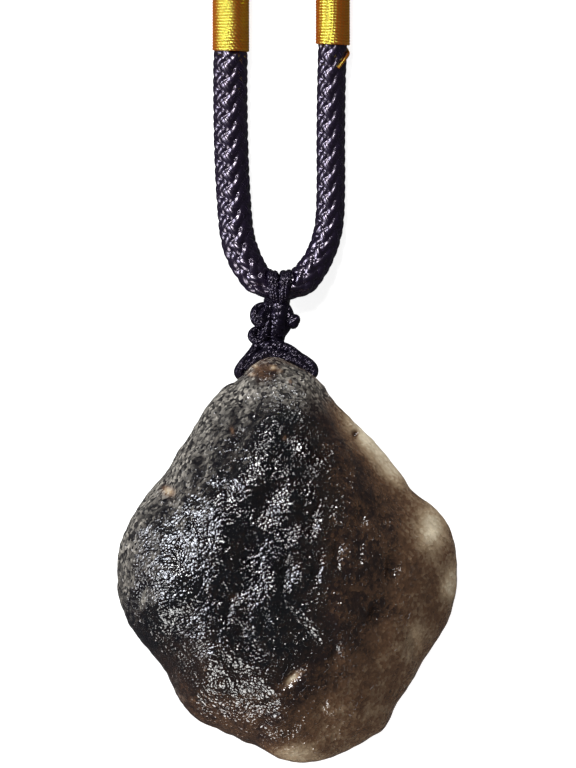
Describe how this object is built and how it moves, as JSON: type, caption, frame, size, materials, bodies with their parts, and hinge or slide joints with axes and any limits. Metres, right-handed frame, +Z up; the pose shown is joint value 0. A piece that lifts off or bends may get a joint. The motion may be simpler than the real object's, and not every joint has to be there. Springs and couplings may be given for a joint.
{
  "type": "tektite pendant",
  "caption": "Lumpy drop-shaped tektite, drilled through its tip and tied with a thin thread to a round braided neck cord with gold thread whippings.",
  "frame": {"origin": "on the resting plane, under the middle of the stone's plan outline", "axes": "+Y from the stone's round end towards its drilled tip, +Z up, out of the stone's crowned front, +X to the right seen from the front"},
  "size_m": [0.0467, 0.1371, 0.0175],
  "materials": {
    "tektite_glass": "etched natural glass, near black where thick and brown where thin, with a fine glinting grain",
    "waxed_thread": "black waxed polyester thread",
    "black_braid": "black polyester round braid with a silky gloss",
    "gold_thread": "golden yellow twisted thread, wound close"
  },
  "bodies": {
    "root": {"tektite": "tektite_glass", "hanging_thread": "waxed_thread", "necklace_cord": "black_braid", "necklace_coil": "black_braid", "gold_whipping_left": "gold_thread", "gold_whipping_right": "gold_thread"}
  },
  "joints": []
}
